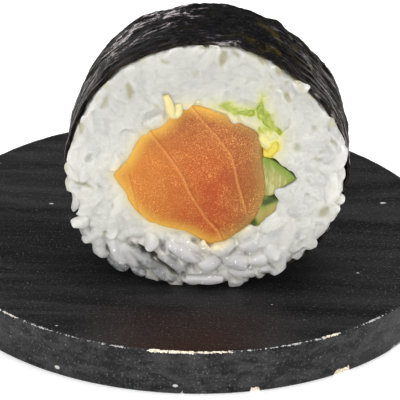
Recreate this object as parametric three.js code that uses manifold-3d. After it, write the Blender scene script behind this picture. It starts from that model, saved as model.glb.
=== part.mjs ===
// A thick maki roll lying on a small round board. Rice is packed round salmon, cucumber and avocado, and
// wrapped in one sheet of nori. Both ends are knife cuts, so every filling runs from end to end.
// Millimetres, +Z up. The origin is the centre of the board's underside. The roll's axis lies along Y, and
// its front cut face looks towards -Y.
import * as THREE from "three";
import { mergeVertices } from "three/addons/utils/BufferGeometryUtils.js";
import Module from "manifold-3d";

const wasm = await Module();
wasm.setup();
const { Manifold } = wasm;

// ---------------------------------------------------------------- driving sizes
const BOARD_RADIUS = 50;
const BOARD_THICKNESS = 8.8;
const BOARD_ROUNDING = 0.5; // of both rims

const ROLL_HALF_WIDTH = 26.3;
const ROLL_HALF_HEIGHT = 25.4;
const ROLL_LENGTH = 19.4;
const ROLL_FOOT = 24.75; // from the axis down to the flat that the roll's weight presses
const ROLL_X = 3.5; // of the axis, right of the board's centre
const ROLL_FRONT_Y = -25.5; // of the front cut face

const NORI_THICKNESS = 0.5;
const GAP = 0.25; // left between neighbours
const CUT_LOSS = 0.3; // how far a filling stops short of each cut face

const GRAIN = { length: 7.2, width: 3.2, thickness: 2.6 }; // over its corners, a faceted grain being slimmer
const GRAIN_SPACING = 3.15; // least distance between the middles of two grains on a cut face
const GRAIN_SEED = 11;

const deg = THREE.MathUtils.degToRad;
const lerp = THREE.MathUtils.lerp;
const smoothstep = THREE.MathUtils.smoothstep;

// ---------------------------------------------------------------- solids from three.js shapes
// A closed three.js geometry as a solid: only the positions are kept, shared corners are merged, and
// triangles that have shrunk to a line, as at the pole of a lathe, are dropped.
function solidOf(geometry) {
  const bare = geometry.clone();
  bare.deleteAttribute("normal");
  bare.deleteAttribute("uv");
  const merged = mergeVertices(bare, 1e-4);
  const corners = merged.index.array;
  const kept = [];
  for (let i = 0; i < corners.length; i += 3) {
    const [a, b, c] = [corners[i], corners[i + 1], corners[i + 2]];
    if (a !== b && b !== c && c !== a) kept.push(a, b, c);
  }
  return new Manifold(
    new wasm.Mesh({
      numProp: 3,
      vertProperties: merged.attributes.position.array,
      triVerts: new Uint32Array(kept),
    }),
  );
}

// The largest piece of a solid. A cut can leave crumbs beside it.
function largestPiece(solid) {
  return solid.decompose().reduce((a, b) => (b.volume() > a.volume() ? b : a));
}

function meshOf(name, solid, material) {
  const made = largestPiece(solid).getMesh();
  const geometry = new THREE.BufferGeometry();
  geometry.setAttribute("position", new THREE.BufferAttribute(made.vertProperties, 3));
  geometry.setIndex(new THREE.BufferAttribute(made.triVerts, 1));
  geometry.computeVertexNormals();
  const mesh = new THREE.Mesh(geometry, material);
  mesh.name = name;
  return mesh;
}

function finish(colour, roughness) {
  return new THREE.MeshStandardMaterial({ color: colour, roughness, metalness: 0 });
}

// A repeatable source of numbers from 0 to 1.
function randomSource(seed) {
  let state = seed;
  return () => {
    state = (state + 0x6d2b79f5) | 0;
    let t = Math.imul(state ^ (state >>> 15), 1 | state);
    t = (t + Math.imul(t ^ (t >>> 7), 61 | t)) ^ t;
    return ((t ^ (t >>> 14)) >>> 0) / 4294967296;
  };
}

// ---------------------------------------------------------------- the roll's section
// The roll is drawn in its own frame: X across, Z up from the axis, Y from the front cut to the back cut.
// Angles run from +X towards +Z. The section is an oval with a flat foot, pressed in a little where the
// rolling mat was squeezed.
const PRESSED = [
  { at: deg(40), depth: 0.8, width: deg(24) },
  { at: deg(156), depth: 0.5, width: deg(14) },
  { at: deg(-62), depth: 0.7, width: deg(20) },
];

function rollRadius(angle) {
  const [c, s] = [Math.cos(angle), Math.sin(angle)];
  const oval = (ROLL_HALF_WIDTH * ROLL_HALF_HEIGHT) / Math.hypot(ROLL_HALF_HEIGHT * c, ROLL_HALF_WIDTH * s);
  const dents = PRESSED.map(({ at, depth, width }) => depth * Math.exp(-(((angle - at) / width) ** 2)));
  const pressed = oval - dents.reduce((a, b) => a + b);
  return s < 0 ? Math.min(pressed, ROLL_FOOT / -s) : pressed;
}

function onSection(angle, radius, y) {
  return new THREE.Vector3(radius * Math.cos(angle), y, radius * Math.sin(angle));
}

// ---------------------------------------------------------------- nori
// One sheet goes round the rice and laps over itself low on the right, where its free edge is a small step.
// It shrinks on as it dries, so it is creased along the roll. Its front edge is level with the rice at the
// top, and draws back lower down, where the rice bulges out.
const NORI_STEPS = 90;
const LAP = { end: deg(-28), start: deg(-72) };
const CREASE = 0.16;
const NORI_EDGE = { top: 0.25, bottom: 1.7 }; // from the cut face back to the nori's edge

const creaseAt = (() => {
  const random = randomSource(5);
  const depths = Array.from({ length: NORI_STEPS }, () => CREASE * (2 * random() - 1));
  return (angle) => depths[Math.round((angle / (2 * Math.PI)) * NORI_STEPS + NORI_STEPS) % NORI_STEPS];
})();

function noriInner(angle) {
  const onFoot = Math.sin(angle) < -0.94;
  return rollRadius(angle) - NORI_THICKNESS - CREASE + (onFoot ? CREASE : creaseAt(angle));
}

// The lap's second layer: a full thickness at its free edge, sinking back to nothing where the sheet began.
function lapLayer(angle) {
  const inLap = angle <= LAP.end && angle >= LAP.start;
  const sink = (angle - LAP.start) / (LAP.end - LAP.start);
  return inLap ? NORI_THICKNESS * Math.sqrt(sink) : 0;
}

function noriEdge(angle) {
  return lerp(NORI_EDGE.bottom, NORI_EDGE.top, smoothstep(Math.sin(angle), -0.6, 0.8));
}

// A sleeve round the roll's section. inner and outer give radii by angle; front and back give its ends.
function sleeve(inner, outer, front, back) {
  const [OUTER, INNER] = [2, 1];
  const loop = [[OUTER, 0], [OUTER, 1], [INNER, 1], [INNER, 0], [OUTER, 0]]; // prettier-ignore
  const profile = loop.map((corner) => new THREE.Vector2(...corner));
  const geometry = new THREE.LatheGeometry(profile, NORI_STEPS);
  const at = geometry.attributes.position;
  const point = new THREE.Vector3();
  for (let i = 0; i < at.count; i++) {
    point.fromBufferAttribute(at, i);
    const angle = Math.atan2(point.z, point.x);
    const outwards = Math.round(Math.hypot(point.x, point.z)) === OUTER;
    const radius = (outwards ? outer : inner)(angle);
    const y = lerp(front(angle), back(angle), point.y);
    at.setXYZ(i, ...onSection(angle, radius, y).toArray());
  }
  return solidOf(geometry);
}

const noriSolid = sleeve(
  noriInner,
  (angle) => noriInner(angle) + NORI_THICKNESS + lapLayer(angle),
  noriEdge,
  (angle) => ROLL_LENGTH - noriEdge(angle),
);

// What the nori keeps clear for itself: everything beyond its inner face, between its two edges.
const noriRoom = sleeve(
  (angle) => noriInner(angle) - GAP,
  () => 2 * ROLL_HALF_WIDTH,
  (angle) => noriEdge(angle) - GAP,
  (angle) => ROLL_LENGTH - noriEdge(angle) + GAP,
);

// ---------------------------------------------------------------- fillings
// Each filling is a bar with the outline of its cut face, given as points on a smooth closed curve,
// [across, up] from the roll's axis.
const SALMON = [
  [-5.0, 12.6], [-0.2, 12.1], [5.2, 10.2], [9.6, 7.2], [10.1, 2.4], [11.0, -3.6], [9.2, -9.9],
  [5.0, -14.0], [1.6, -15.6], [-3.0, -13.4], [-9.6, -11.8], [-13.6, -8.4], [-15.2, -5.0],
  [-17.3, -1.8], [-14.6, 1.2], [-11.8, 6.6], [-8.6, 8.2],
]; // prettier-ignore
const CUCUMBER_WEDGE = [
  [8.6, 2.6], [11.4, 2.4], [14.0, 0.6], [16.2, -1.4], [13.8, -3.2], [12.4, -4.8], [9.6, -4.4],
]; // prettier-ignore
const CUCUMBER_SLIVER = [
  [10.0, -5.8], [12.4, -5.6], [13.6, -7.2], [12.2, -9.2], [9.4, -11.6], [8.0, -10.6], [9.0, -8.0],
]; // prettier-ignore
const AVOCADO = [
  [0.6, 12.6], [4.4, 13.2], [7.2, 13.9], [9.2, 15.1], [10.7, 14.2], [11.3, 11.8], [13.3, 9.4],
  [14.4, 6.2], [15.9, 1.6], [13.0, 0.0], [8.4, 1.6], [7.4, 6.4], [3.0, 9.6],
]; // prettier-ignore

const BAR_POINTS = 44;
const BAR_ROUNDING = 0.5;

function closedCurve(points) {
  const corners = points.map(([x, z]) => new THREE.Vector3(x, z, 0));
  return new THREE.CatmullRomCurve3(corners, true, "centripetal");
}

// The outline as a shape, moved outwards by grow.
function outline(points, grow) {
  const curve = closedCurve(points);
  const sides = [];
  for (let i = 0; i < BAR_POINTS; i++) {
    const at = curve.getPointAt(i / BAR_POINTS);
    const along = curve.getTangentAt(i / BAR_POINTS);
    sides.push(new THREE.Vector2(at.x + grow * -along.y, at.y + grow * along.x));
  }
  return new THREE.Shape(sides);
}

// A bar along the roll from y = front to y = back, with its two end edges rounded.
function bar(points, { grow = 0, front = CUT_LOSS, back = ROLL_LENGTH - CUT_LOSS, rounding = 0 } = {}) {
  const geometry = new THREE.ExtrudeGeometry(outline(points, grow), {
    depth: back - front - 2 * rounding,
    steps: 1,
    bevelEnabled: rounding > 0,
    bevelThickness: rounding,
    bevelSize: rounding,
    bevelOffset: -rounding,
    bevelSegments: 1,
  });
  geometry.rotateX(Math.PI / 2);
  geometry.translate(0, back - rounding, 0);
  return solidOf(geometry);
}

// The space that a filling and its gap take out of what is packed round it.
function room(points) {
  return bar(points, { grow: GAP, front: -ROLL_LENGTH, back: 2 * ROLL_LENGTH });
}

// The pale seams between the salmon's flakes are shallow grooves in both cut faces.
const SEAM_WIDTH = 0.45;
const SALMON_SEAMS = [
  [[-3.4, 12.0], [0.2, 8.0], [3.1, 4.1], [4.9, 0.6], [6.2, -4.4], [8.4, -9.6]],
  [[-9.4, 7.0], [-6.4, 2.2], [-4.0, -1.6], [-1.6, -7.4], [1.0, -10.8], [4.6, -13.6]],
  [[-13.9, 0.2], [-13.2, -3.8], [-12.2, -7.6], [-9.8, -11.0]],
]; // prettier-ignore

function seamGroove(points, y) {
  const path = new THREE.CatmullRomCurve3(points.map(([x, z]) => new THREE.Vector3(x, y, z)));
  const half = SEAM_WIDTH / 2;
  const section = new THREE.Shape([
    new THREE.Vector2(half, 0),
    new THREE.Vector2(0, half),
    new THREE.Vector2(-half, 0),
    new THREE.Vector2(0, -half),
  ]);
  return solidOf(new THREE.ExtrudeGeometry(section, { steps: 8, extrudePath: path, bevelEnabled: false }));
}

const grooves = [CUT_LOSS, ROLL_LENGTH - CUT_LOSS].flatMap((y) =>
  SALMON_SEAMS.map((points) => seamGroove(points, y)),
);

const rounded = { rounding: BAR_ROUNDING };
const salmonSolid = bar(SALMON, rounded).subtract(Manifold.union(grooves));
const wedgeSolid = bar(CUCUMBER_WEDGE, rounded).subtract(room(SALMON));
const sliverSolid = bar(CUCUMBER_SLIVER, rounded).subtract(room(SALMON));
const avocadoSolid = bar(AVOCADO, rounded).subtract(room(SALMON)).subtract(room(CUCUMBER_WEDGE));

const FILLINGS = [SALMON, CUCUMBER_WEDGE, CUCUMBER_SLIVER, AVOCADO];
const fillingRoom = Manifold.union(FILLINGS.map(room));

// ---------------------------------------------------------------- rice
// A core of packed rice, with the grains that show at each cut face fused on. The grains are laid by a rule:
// no two middles are nearer than GRAIN_SPACING, and those next to the nori lie more or less along it.
const CORE_RECESS = 1.1; // from a cut face back to the core between its grains

const filled = FILLINGS.map((points) => outline(points, 0).getPoints());

function isInside(polygon, x, z) {
  let inside = false;
  polygon.forEach((a, i) => {
    const b = polygon[(i + polygon.length - 1) % polygon.length];
    if (a.y > z !== b.y > z && x < ((b.x - a.x) * (z - a.y)) / (b.y - a.y) + a.x) inside = !inside;
  });
  return inside;
}

// How far a point of the section is inside the nori, and the direction that runs along the nori there.
function fromNori(x, z) {
  const angle = Math.atan2(z, x);
  return { depth: noriInner(angle) - Math.hypot(x, z), along: angle + Math.PI / 2 };
}

// One grain: an egg-like spindle of 30 triangles, its length along X before it is turned.
function grain({ x, y, z, turn, tip, spin, size }) {
  const geometry = new THREE.SphereGeometry(0.5, 5, 4);
  geometry.rotateZ(Math.PI / 2);
  geometry.scale(GRAIN.length * size, GRAIN.thickness * size, GRAIN.width * size);
  geometry.rotateX(spin);
  geometry.rotateZ(tip);
  geometry.rotateY(-turn);
  geometry.translate(x, y, z);
  return solidOf(geometry);
}

// The grains of one cut face lie with their middles a little inside it, least so towards the foot, where
// they bulge out. into is +1 where the roll lies towards +Y from the face, and -1 at the back.
const LAYING_TRIES = 6000;
const GRAIN_DEPTH = { top: 1.3, foot: 0.5, scatter: 0.6 };

function facedGrains(faceY, into, seed) {
  const random = randomSource(seed);
  const scattered = (most) => most * (2 * random() - 1);
  const laid = [];
  for (let tries = 0; tries < LAYING_TRIES; tries++) {
    const x = scattered(ROLL_HALF_WIDTH);
    const z = scattered(ROLL_HALF_HEIGHT);
    const { depth, along } = fromNori(x, z);
    const covered = filled.some((polygon) => isInside(polygon, x, z));
    const crowded = laid.some((other) => Math.hypot(other.x - x, other.z - z) < GRAIN_SPACING);
    if (depth < GRAIN.width / 3 || covered || crowded) continue;
    const besideNori = depth < GRAIN.length / 2;
    const set = lerp(GRAIN_DEPTH.top, GRAIN_DEPTH.foot, smoothstep(-z, 0, ROLL_HALF_HEIGHT));
    laid.push({
      x,
      z,
      y: faceY + into * (set + GRAIN_DEPTH.scatter * random()),
      turn: along + scattered(besideNori ? 0.5 : 1.5),
      tip: scattered(0.4),
      spin: scattered(Math.PI / 2),
      size: 1 + scattered(0.11),
    });
  }
  return laid.map(grain);
}

// Loose grains that hang out of the front face round its lower edge, over the nori:
// [across, up, turn in degrees, size].
const LOOSE_GRAINS = [
  [-24.9, -2.6, -58, 0.8], [-24.0, -7.4, 80, 0.9], [-23.2, -12.8, 25, 0.75],
  [-21.4, -15.6, -75, 0.95], [-18.2, -18.8, -60, 1.0], [-13.8, -21.4, -40, 1.05],
  [-9.2, -22.6, -30, 1.15], [-4.2, -18.0, -38, 1.1], [1.6, -23.2, 6, 1.15], [8.2, -22.0, 12, 1.0],
  [13.6, -19.2, 40, 1.0], [18.2, -15.4, 55, 1.1], [21.8, -9.6, 68, 1.0], [24.3, -3.0, 80, 0.95],
]; // prettier-ignore
const LOOSE_Y = 0.4; // of their middles
const looseGrains = LOOSE_GRAINS.map(([x, z, turn, size]) =>
  grain({ x, y: LOOSE_Y, z, turn: deg(turn), tip: 0.12, spin: 0, size }),
);

const riceCore = sleeve(
  () => 1,
  (angle) => noriInner(angle) - 2 * GAP,
  () => CORE_RECESS,
  () => ROLL_LENGTH - CORE_RECESS,
);

// What the board keeps clear: a slab that reaches up to just under the grains on the foot.
const SLAB = 10;
const slab = new THREE.BoxGeometry(4 * ROLL_HALF_WIDTH, 3 * ROLL_LENGTH, SLAB);
slab.translate(0, ROLL_LENGTH / 2, GAP - ROLL_FOOT - SLAB / 2);
const boardRoom = solidOf(slab);

const riceSolid = Manifold.union([
  riceCore,
  ...facedGrains(0, 1, GRAIN_SEED),
  ...facedGrains(ROLL_LENGTH, -1, GRAIN_SEED + 1),
  ...looseGrains,
])
  .subtract(fillingRoom)
  .subtract(noriRoom)
  .subtract(boardRoom);

// ---------------------------------------------------------------- board
// A turned wooden disc, lacquered black, with both rims lightly rounded.
const BOARD_STEPS = 80;
const ROUNDING_STEPS = 2;

function boardGeometry() {
  const profile = [new THREE.Vector2(0, 0)];
  const arc = (centreY, from) => {
    for (let i = 0; i <= ROUNDING_STEPS; i++) {
      const angle = from + (Math.PI / 2) * (i / ROUNDING_STEPS);
      profile.push(
        new THREE.Vector2(
          BOARD_RADIUS - BOARD_ROUNDING + BOARD_ROUNDING * Math.cos(angle),
          centreY + BOARD_ROUNDING * Math.sin(angle),
        ),
      );
    }
  };
  arc(BOARD_ROUNDING, -Math.PI / 2);
  arc(BOARD_THICKNESS - BOARD_ROUNDING, 0);
  profile.push(new THREE.Vector2(0, BOARD_THICKNESS));
  return new THREE.LatheGeometry(profile, BOARD_STEPS).rotateX(Math.PI / 2);
}

// ---------------------------------------------------------------- the part
const maki = new THREE.Group();
maki.add(meshOf("board", solidOf(boardGeometry()), finish(0x1c1c1e, 0.35)));

const roll = new THREE.Group();
roll.position.set(ROLL_X, ROLL_FRONT_Y, BOARD_THICKNESS + ROLL_FOOT);
roll.add(
  meshOf("nori", noriSolid, finish(0x14171a, 0.45)),
  meshOf("rice", riceSolid, finish(0xe6e5de, 0.4)),
  meshOf("salmon", salmonSolid, finish(0xdd7a34, 0.3)),
  meshOf("cucumber_wedge", wedgeSolid, finish(0xb9cc7c, 0.3)),
  meshOf("cucumber_sliver", sliverSolid, finish(0x9db765, 0.3)),
  meshOf("avocado", avocadoSolid, finish(0xc5cf4e, 0.4)),
);
maki.add(roll);

export default maki;
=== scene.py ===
"""Dresses a thick maki roll on its round black board: the board, the sheet of nori, the rice with its grains,
and the salmon, cucumber and avocado inside. Metres, +Z up, the cut face towards -Y."""

import math
from functools import reduce

import bmesh
import bpy
import numpy as np
from mathutils import Matrix, Vector, kdtree, noise


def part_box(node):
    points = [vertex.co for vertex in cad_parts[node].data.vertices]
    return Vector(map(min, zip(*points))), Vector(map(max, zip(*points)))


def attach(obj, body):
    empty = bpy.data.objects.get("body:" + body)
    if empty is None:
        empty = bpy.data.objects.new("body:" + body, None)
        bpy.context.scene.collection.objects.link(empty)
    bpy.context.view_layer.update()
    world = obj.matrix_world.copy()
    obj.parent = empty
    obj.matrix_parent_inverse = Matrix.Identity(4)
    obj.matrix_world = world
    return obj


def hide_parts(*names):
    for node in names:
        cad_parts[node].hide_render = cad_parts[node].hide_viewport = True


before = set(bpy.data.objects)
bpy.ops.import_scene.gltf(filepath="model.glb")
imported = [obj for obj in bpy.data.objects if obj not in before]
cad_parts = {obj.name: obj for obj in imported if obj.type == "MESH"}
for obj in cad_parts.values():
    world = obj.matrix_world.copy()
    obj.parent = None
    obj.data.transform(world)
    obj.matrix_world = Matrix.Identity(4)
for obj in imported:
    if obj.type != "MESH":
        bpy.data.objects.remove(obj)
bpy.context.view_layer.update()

MM = 0.001

# ------------------------------------------------------------------------------------------------ the board
# A disc turned from one piece of wood and lacquered black. The brush left fine ridges along the grain. The
# lacquer is chipped off both rims, down to the cream wood, and freckled and scratched on top. Its colour also
# holds painted light: light grey glints along the scuffed top rim, a lighter sheen on the side wall and a reddish
# reflection of the salmon in front of the roll.


def node(tree, kind, inputs=None, **settings):
    """Adds a node to a tree. inputs maps a socket's name or number to its value, or to what feeds it."""
    made = tree.nodes.new(kind)
    for name, value in settings.items():
        setattr(made, name, value)
    for key, value in (inputs or {}).items():
        if isinstance(value, bpy.types.NodeSocket):
            tree.links.new(value, made.inputs[key])
        else:
            made.inputs[key].default_value = value
    return made


def tree_of(*values):
    """The tree of the first socket among the values."""
    return next(value.id_data for value in values if isinstance(value, bpy.types.NodeSocket))


def maths(operation, *values):
    return node(tree_of(*values), "ShaderNodeMath", dict(enumerate(values)), operation=operation).outputs[0]


def plus(*values):
    return reduce(lambda total, value: maths("ADD", total, value), values)


def minus(first, second):
    return maths("SUBTRACT", first, second)


def times(*values):
    return reduce(lambda product, value: maths("MULTIPLY", product, value), values)


def ramp(value, low, high, start=0.0, end=1.0):
    """Runs smoothly from start to end while value runs from low to high."""
    inputs = {0: value, 1: low, 2: high, 3: start, 4: end}
    return node(value.id_data, "ShaderNodeMapRange", inputs, interpolation_type="SMOOTHSTEP").outputs[0]


def blend(share, first, second):
    """A colour between two others."""
    return node(share.id_data, "ShaderNodeMix", {0: share, 6: first, 7: second}, data_type="RGBA").outputs[2]


def layered(colour, *coats):
    """The colour under coats of others, each given as its share and its colour."""
    return reduce(lambda under, coat: blend(coat[0], under, coat[1]), coats, colour)


def grainy(place, scale, detail=3.0, rough=0.5, warp=0.0):
    inputs = {"Vector": place, "Scale": scale, "Detail": detail, "Roughness": rough, "Distortion": warp}
    return node(place.id_data, "ShaderNodeTexNoise", inputs).outputs[0]


def placed(tree, stretch=(1.0, 1.0, 1.0), shift=(0.0, 0.0, 0.0)):
    """The point on the object, moved by shift, with the pattern drawn out along some axes."""
    place = node(tree, "ShaderNodeTexCoord").outputs["Object"]
    return node(tree, "ShaderNodeMapping", {"Vector": place, "Location": shift, "Scale": stretch}).outputs[0]


def axes(place):
    return node(place.id_data, "ShaderNodeSeparateXYZ", {0: place}).outputs


def vector(x=0.0, y=0.0, z=0.0):
    return node(tree_of(x, y, z), "ShaderNodeCombineXYZ", {0: x, 1: y, 2: z}).outputs[0]


def attribute(tree, name):
    return node(tree, "ShaderNodeAttribute", attribute_name=name).outputs["Fac"]


def finish(name, **sockets):
    """A material, with its tree and its shader, whose sockets are set as given."""
    material = bpy.data.materials.new(name)
    material.use_nodes = True
    tree = material.node_tree
    shader = tree.nodes["Principled BSDF"]
    for key, value in sockets.items():
        shader.inputs[key.replace("_", " ")].default_value = value
    return material, tree, shader


def feed(shader, **outputs):
    for key, value in outputs.items():
        shader.id_data.links.new(value, shader.inputs[key.replace("_", " ")])


def bumps(shader, height, distance, layer="Normal"):
    bump = node(shader.id_data, "ShaderNodeBump", {"Height": height, "Distance": distance})
    feed(shader, **{layer: bump.outputs[0]})


def rgb(red, green, blue):
    """A colour from its 0 to 255 values, as a shader takes it."""
    linear = [((c / 255 + 0.055) / 1.055) ** 2.4 if c > 10 else c / 255 / 12.92 for c in (red, green, blue)]
    return (*linear, 1.0)


def in_scene(name, data):
    """A new object of the scene."""
    made = bpy.data.objects.new(name, data)
    bpy.context.scene.collection.objects.link(made)
    return made


def make_piece(name, mesh, material, slot, *nodes, smooth=True):
    """A finished piece from its mesh, standing for the named nodes of the frame."""
    mesh.name = name
    mesh.materials.clear()
    mesh.materials.append(material)
    mesh.polygons.foreach_set("use_smooth", [smooth] * len(mesh.polygons))
    made = in_scene(name, mesh)
    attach(made, "root")
    if nodes:
        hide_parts(*nodes)
    return made


def grid_mesh(points, faces):
    mesh = bpy.data.meshes.new("mesh")
    mesh.from_pydata([tuple(p) for p in points], [], [tuple(f) for f in faces])
    mesh.update()
    return mesh


def rolled(profile_count, turn_count):
    """Quads that join rings of points, point k of ring j being number j * profile_count + k."""
    quads = []
    for j in range(turn_count):
        following = (j + 1) % turn_count
        for k in range(profile_count - 1):
            a, b = j * profile_count + k, following * profile_count + k
            quads.append((a, b, b + 1, a + 1))
    return quads


def add_values(mesh, **values):
    """Gives the mesh's points named values that its material reads, as arrays or as one number for all."""
    for key, value in values.items():
        whole = (np.zeros(len(mesh.vertices)) + value).astype(np.float32)
        mesh.attributes.new(key, "FLOAT", "POINT").data.foreach_set("value", whole)


BOARD_RADIUS, _, BOARD_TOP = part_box("board")[1]
BOARD_TURN = 720  # points round the board
RIM_ROUND = 0.35 * MM
CHIP_DEPTH = 0.16 * MM

# Where each rim is rubbed, as (degrees from, degrees to, how badly): 1 is down to the wood, 0.5 only scuffed.
# Where the top rim is only scuffed it is painted light grey, as painted glints on the chipped lacquer.
TOP_RUBS_AND_GLINTS = [(-134, -127, 0.72), (-127, -113, 0.62), (-113, -106, 0.45), (-106, -101, 0.62), (-101, -97, 0.38),
            (-96.5, -86.5, 0.98), (-86, -78.5, 0.80), (-77, -74.5, 0.5), (-74, -70, 0.55), (-70, -58.5, 0.62),
            (-58.5, -54.5, 0.82), (-54.5, -49, 0.48), (-49, -42.5, 0.66)]
FOOT_RUBS = [(-89.3, -88.6, 0.8), (-74.6, -72.7, 1.0), (-55.4, -51.2, 1.05)]
LISTED_FROM, LISTED_TO = -134, -42.5  # the stretch of the rims that the lists cover


def board_profile():
    """Points (distance from the axis, height) from the middle of the underside round to the middle of the top."""
    side = [(BOARD_RADIUS - RIM_ROUND + RIM_ROUND * math.sin(a), RIM_ROUND - RIM_ROUND * math.cos(a))
            for a in np.linspace(0, math.pi / 2, 5)]
    under = [(r, 0.0) for r in np.linspace(0.004, BOARD_RADIUS - 1.0 * MM, 5)]
    wall = [(BOARD_RADIUS, z) for z in np.linspace(RIM_ROUND, BOARD_TOP - RIM_ROUND, 14)[1:-1]]
    lower = under + side + wall
    return lower + [(r, BOARD_TOP - z) for r, z in reversed(under + side)]


def rubbed(point):
    """How badly the nearer rim is rubbed beside a point, which also sets how much of it is painted light grey as a
    glint: as listed in front, and by chance round the rest.
    """
    degrees = math.degrees(math.atan2(point.y, point.x))
    on_top = point.z > BOARD_TOP / 2
    if LISTED_FROM < degrees < LISTED_TO:
        hits = [harm for low, high, harm in (TOP_RUBS_AND_GLINTS if on_top else FOOT_RUBS) if low <= degrees <= high]
        return max(hits, default=0.1)
    chance = noise.noise(Vector((point.x * 160, point.y * 160, 5.0 if on_top else 9.0)))
    return max(0.1, min(0.9, 0.42 + 0.9 * chance if on_top else 0.2 + 1.1 * chance))


def chipped(point):
    """A point of the board, with the rims nibbled where they are rubbed."""
    radius = math.hypot(point.x, point.y)
    corner = math.hypot(BOARD_RADIUS - radius, min(point.z, BOARD_TOP - point.z))
    near = max(0.0, 1 - corner / (1.0 * MM)) * rubbed(point)
    nibble = noise.fractal(point * 500, 0.8, 2.0, 4)
    return point * (1 - near * CHIP_DEPTH * (0.7 + max(-0.7, nibble)) / max(radius, MM))


profile = board_profile()
points = [chipped(Vector((r * math.cos(t), r * math.sin(t), z)))
          for t in np.linspace(0, 2 * math.pi, BOARD_TURN, endpoint=False) for r, z in profile]
quads = rolled(len(profile), BOARD_TURN)
for k in (0, len(profile) - 1):  # the two middles
    middle = [j * len(profile) + k for j in range(BOARD_TURN)]
    quads.append(middle[::-1] if k == 0 else middle)
board_mesh = grid_mesh(points, quads)
add_values(board_mesh, rubbed=[rubbed(point) for point in points])

lacquer, tree, shader = finish("black_lacquer", Specular_IOR_Level=0.12)
place = placed(tree)
x, y, z = axes(place)
radius = node(tree, "ShaderNodeVectorMath", {0: vector(x, y)}, operation="LENGTH").outputs["Value"]
inwards = minus(BOARD_RADIUS, radius)
ridges = grainy(placed(tree, (0.06, 1.0, 0.5)), 1100, 4.0, 0.6)
streaks = grainy(placed(tree, (0.12, 1.0, 1.0)), 130, 5.0, 0.7, 0.5)
swirls = grainy(placed(tree, (0.45, 0.45, 1.0)), 520, 6.0, 0.68, 0.5)
fine = grainy(place, 900, 6.0, 0.7)
crumbs = grainy(place, 2600, 3.0, 0.6)


def rim_wear_and_glints_at(height, reach):
    """Where a rim shows bare wood and, where it is only scuffed, a painted grey glint: within reach of it, the
    further the more it is rubbed.
    """
    drop = minus(height, z)
    corner = maths("SQRT", plus(times(drop, drop), times(inwards, inwards)))
    chance = plus(times(fine, 1.3), times(crumbs, 1.1))
    harm = plus(attribute(tree, "rubbed"), chance)
    return ramp(minus(harm, maths("DIVIDE", corner, reach)), 1.32, 1.42)


rim_wear_and_glints = maths("MAXIMUM", rim_wear_and_glints_at(BOARD_TOP, 0.5 * MM), rim_wear_and_glints_at(0.0, 1.1 * MM))
cells = node(tree, "ShaderNodeTexVoronoi", {"Vector": placed(tree, (0.6, 1.0, 1.0)), "Scale": 300.0})
chance = node(tree, "ShaderNodeSeparateColor", {0: cells.outputs["Color"]}).outputs[0]
size = ramp(chance, 0.62, 1.0, 0.0, 0.12)
freckles = ramp(minus(size, cells.outputs["Distance"]), 0.0, 0.02)
scratches = ramp(grainy(placed(tree, (0.3, 1.0, 0.5)), 500, 8.0, 0.8, 1.5), 0.70, 0.75, 0.0, 0.5)
from_middle = maths("ABSOLUTE", minus(x, 1 * MM))
# In front of the roll the lacquer is painted darker and reddish: a painted reflection of the salmon.
in_front = times(ramp(y, -30 * MM, -40 * MM), ramp(from_middle, 22 * MM, 8 * MM))
painted_salmon_reflection = times(in_front, ramp(streaks, 0.30, 0.62, 0.6, 1.0))
paint = layered(
    blend(ramp(streaks, 0.38, 0.66), rgb(17, 17, 18), rgb(38, 37, 38)),
    (painted_salmon_reflection, rgb(28, 10, 10)),
    # The side wall is painted lighter, in swirls: a painted sheen.
    (ramp(inwards, 0.6 * MM, 0.1 * MM), blend(ramp(swirls, 0.36, 0.68), rgb(20, 20, 21), rgb(53, 53, 54))),
    (maths("MAXIMUM", freckles, scratches), rgb(185, 182, 176)),
    (ramp(crumbs, 0.54, 0.68, 0.0, 0.24), rgb(120, 120, 120)),
    (ramp(crumbs, 0.68, 0.74, 0.0, 0.6), rgb(140, 138, 136)))
# The rims: cream where worn down to the wood, light grey where only scuffed, which is a painted glint.
bare_wood_and_glints = layered(
    blend(ramp(attribute(tree, "rubbed"), 0.62, 0.9), rgb(176, 176, 176), rgb(240, 226, 203)),
    (ramp(crumbs, 0.4, 0.6, 0.5, 0.0), rgb(120, 108, 92)))
rough = plus(ramp(streaks, 0.36, 0.68, 0.28, 0.42), times(rim_wear_and_glints, 0.3))
feed(shader, Base_Color=blend(rim_wear_and_glints, paint, bare_wood_and_glints), Roughness=rough)
relief = plus(times(ridges, 0.5), times(fine, 0.6))
relief = minus(relief, times(maths("MAXIMUM", rim_wear_and_glints, freckles), 1.2))
bumps(shader, relief, 0.07 * MM)
make_piece("lacquered_board", board_mesh, lacquer, "board_lacquer", "board")

# ------------------------------------------------------------------------------------------------ the nori
# One sheet of pressed, toasted seaweed, half a millimetre thick once moist. It goes once round the rice and
# laps over its own start low on the right. It shrank as it dried, so it is creased round the roll. Light patches
# on its upper left and pale streaks along the creases of its flanks are painted highlights in its colour.


def merged(node_name):
    """A piece of the frame to work on, its loose triangles joined into one skin."""
    solid = bmesh.new()
    solid.from_mesh(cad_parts[node_name].data)
    bmesh.ops.remove_doubles(solid, verts=solid.verts, dist=1e-7)
    return solid


def cut_at(solid, y, side=1, **options):
    """Cuts the solid across at y. Gives the edges of the cut, in an order that doesn't change."""
    everything = solid.verts[:] + solid.edges[:] + solid.faces[:]
    made = bmesh.ops.bisect_plane(solid, geom=everything, plane_co=(0, y, 0), plane_no=(0, side, 0), **options)
    return [edge for edge in made["geom_cut"] if isinstance(edge, bmesh.types.BMEdge)]


def as_mesh(solid, mesh, turn=True):
    """Puts the solid in a mesh, with its faces turned outwards unless they are so already."""
    if turn:
        bmesh.ops.recalc_face_normals(solid, faces=solid.faces)
    solid.to_mesh(mesh)
    solid.free()
    return mesh


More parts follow.
